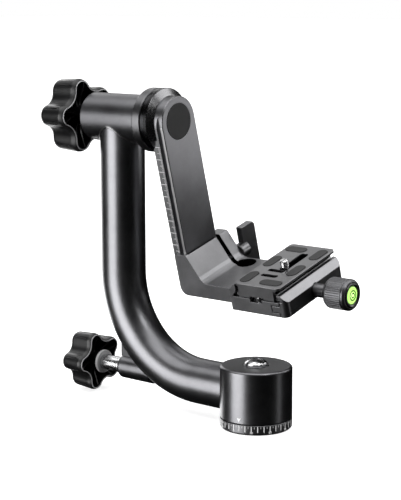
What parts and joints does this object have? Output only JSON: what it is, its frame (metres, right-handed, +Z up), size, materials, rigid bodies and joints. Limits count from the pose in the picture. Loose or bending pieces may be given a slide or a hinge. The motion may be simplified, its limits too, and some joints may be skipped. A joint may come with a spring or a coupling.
{
  "type": "gimbal tripod head",
  "caption": "Side-arm gimbal tripod head: panning base, J-shaped arm, swinging rail with sliding platform, quick-release clamp with plate, and star lock knobs.",
  "frame": {"origin": "centre of the base's bottom face, at the mouth of the tripod thread", "axes": "+Z up along the pan axis; +X along the tilt axis from the tilt knob towards the camera side; +Y along the lens direction, away from the near end of the clamp"},
  "size_m": [0.2535, 0.118, 0.2521],
  "materials": {
    "black_anodised": "satin black anodised",
    "rail_anodised": "satin charcoal anodised with engraved marks",
    "bracket_anodised": "satin charcoal anodised",
    "jaw_anodised": "satin charcoal anodised with a bright bevel",
    "plate_anodised": "satin dark anodised",
    "gusset_grey": "satin bare",
    "grip_grey": "knurled, anodised grey",
    "rubber_pad": "matte",
    "star_plastic": "gloss moulded",
    "cap_plastic": "matte moulded",
    "wing_grey": "satin",
    "chrome": "polished",
    "steel": "turned",
    "bronze": "machined",
    "glide_plastic": "black, low friction",
    "level_black": "matte",
    "level_green": "tinted liquid",
    "level_clear": "clear"
  },
  "bodies": {
    "pan_base": {"base_plate": "black_anodised", "thread_insert": "steel", "pan_spindle": "steel", "pan_glide_ring": "glide_plastic", "bolt_washer": "chrome", "centre_bolt": "chrome"},
    "pan_arm": {"pan_housing": "black_anodised", "pan_bush_lower": "bronze", "pan_bush_upper": "bronze", "j_tube": "black_anodised", "lock_stub": "black_anodised", "stub_gusset": "gusset_grey", "stub_ring": "chrome", "tilt_sleeve": "black_anodised", "sleeve_collar": "black_anodised", "drag_ring": "black_anodised", "tilt_bearing_outer_front": "steel", "tilt_bearing_outer_rear": "steel"},
    "swing": {"tilt_shaft": "steel", "shaft_nut": "steel", "tilt_flange": "black_anodised", "tilt_bearing_inner_front": "steel", "tilt_bearing_inner_rear": "steel", "tilt_bearing_balls_front": "steel", "tilt_bearing_balls_rear": "steel", "swing_rail": "rail_anodised", "rail_cap": "cap_plastic", "rail_screw_1": "steel", "rail_screw_2": "steel"},
    "platform": {"platform_bracket": "bracket_anodised", "clamp_body": "bracket_anodised", "clamp_screw_1": "steel", "clamp_screw_2": "steel"},
    "rail_lock": {"wing_stud": "steel", "rail_wing": "wing_grey"},
    "pin_button": {"drop_pin": "steel"},
    "jaw": {"clamp_jaw": "jaw_anodised"},
    "clamp_knob": {"clamp_screw_shaft": "steel", "clamp_knob_grip": "grip_grey", "level_ring": "level_black", "level_liquid": "level_green", "level_bubble": "level_clear", "level_lens": "level_clear"},
    "plate": {"quick_plate": "plate_anodised", "plate_pad_a": "rubber_pad", "plate_pad_b": "rubber_pad", "plate_pad_c": "rubber_pad", "plate_pad_d": "rubber_pad", "plate_pad_e": "rubber_pad", "plate_pad_f": "rubber_pad"},
    "carrier": {"screw_carrier": "steel"},
    "camera_bolt": {"camera_screw": "steel"},
    "tilt_pusher": {"tilt_brake_pad": "glide_plastic"},
    "tilt_lock": {"tilt_knob": "star_plastic", "tilt_knob_stud": "steel"},
    "pan_pusher": {"pan_brake_rod": "steel"},
    "pan_lock": {"pan_knob": "star_plastic", "pan_knob_disc": "steel", "pan_knob_stud": "chrome"}
  },
  "joints": [
    {"name": "pan", "type": "hinge", "parent": "pan_base", "child": "pan_arm", "pos_m": [0, 0, 0], "axis": [0, 0, 1], "continuous": true},
    {"name": "tilt", "type": "hinge", "parent": "pan_arm", "child": "swing", "pos_m": [0, 0, 0.2232], "axis": [1, 0, 0], "continuous": true},
    {"name": "rail_slide", "type": "slide", "parent": "swing", "child": "platform", "axis": [0, -0.2656, 0.9641], "range_m": [-0.008, 0.07]},
    {"name": "rail_lock_turn", "type": "hinge", "parent": "platform", "child": "rail_lock", "pos_m": [-0.066, 0.06186, 0.11535], "axis": [0, 0.9641, 0.2656], "range_deg": [0, 360]},
    {"name": "drop_pin_press", "type": "slide", "parent": "platform", "child": "pin_button", "axis": [0, -0.2656, 0.9641], "range_m": [-0.0015, 0], "stiffness_N_per_m": 200, "springref_m": 0.002},
    {"name": "jaw_slide", "type": "slide", "parent": "platform", "child": "jaw", "axis": [1, 0, 0], "range_m": [0, 0.0032]},
    {"name": "clamp_knob_turn", "type": "hinge", "parent": "jaw", "child": "clamp_knob", "pos_m": [0.036, 0.039, 0.10045], "axis": [1, 0, 0], "range_deg": [0, 1152]},
    {"name": "plate_slide", "type": "slide", "parent": "platform", "child": "plate", "axis": [0, 0.9641, 0.2656], "range_m": [-0.03, 0.025]},
    {"name": "carrier_slide", "type": "slide", "parent": "plate", "child": "carrier", "axis": [0, 0.9641, 0.2656], "range_m": [0, 0.0235]},
    {"name": "camera_screw_turn", "type": "hinge", "parent": "carrier", "child": "camera_bolt", "pos_m": [0.0023, 0.032, 0.11532], "axis": [0, -0.2656, 0.9641], "continuous": true},
    {"name": "tilt_brake_slide", "type": "slide", "parent": "pan_arm", "child": "tilt_pusher", "axis": [1, 0, 0], "range_m": [-0.00187, 0]},
    {"name": "tilt_knob_turn", "type": "hinge", "parent": "tilt_pusher", "child": "tilt_lock", "pos_m": [-0.18, 0, 0.2232], "axis": [1, 0, 0], "range_deg": [-540, 0]},
    {"name": "pan_brake_slide", "type": "slide", "parent": "pan_arm", "child": "pan_pusher", "axis": [1, 0, 0], "range_m": [-0.00187, 0]},
    {"name": "pan_knob_turn", "type": "hinge", "parent": "pan_pusher", "child": "pan_lock", "pos_m": [-0.167, 0, 0.0249], "axis": [1, 0, 0], "range_deg": [-540, 0]}
  ],
  "couplings": [
    {"joint": "clamp_knob_turn", "follows": "jaw_slide", "rad_per_m": 6283},
    {"joint": "tilt_knob_turn", "follows": "tilt_brake_slide", "rad_per_m": 5026.5},
    {"joint": "pan_knob_turn", "follows": "pan_brake_slide", "rad_per_m": 5026.5}
  ]
}
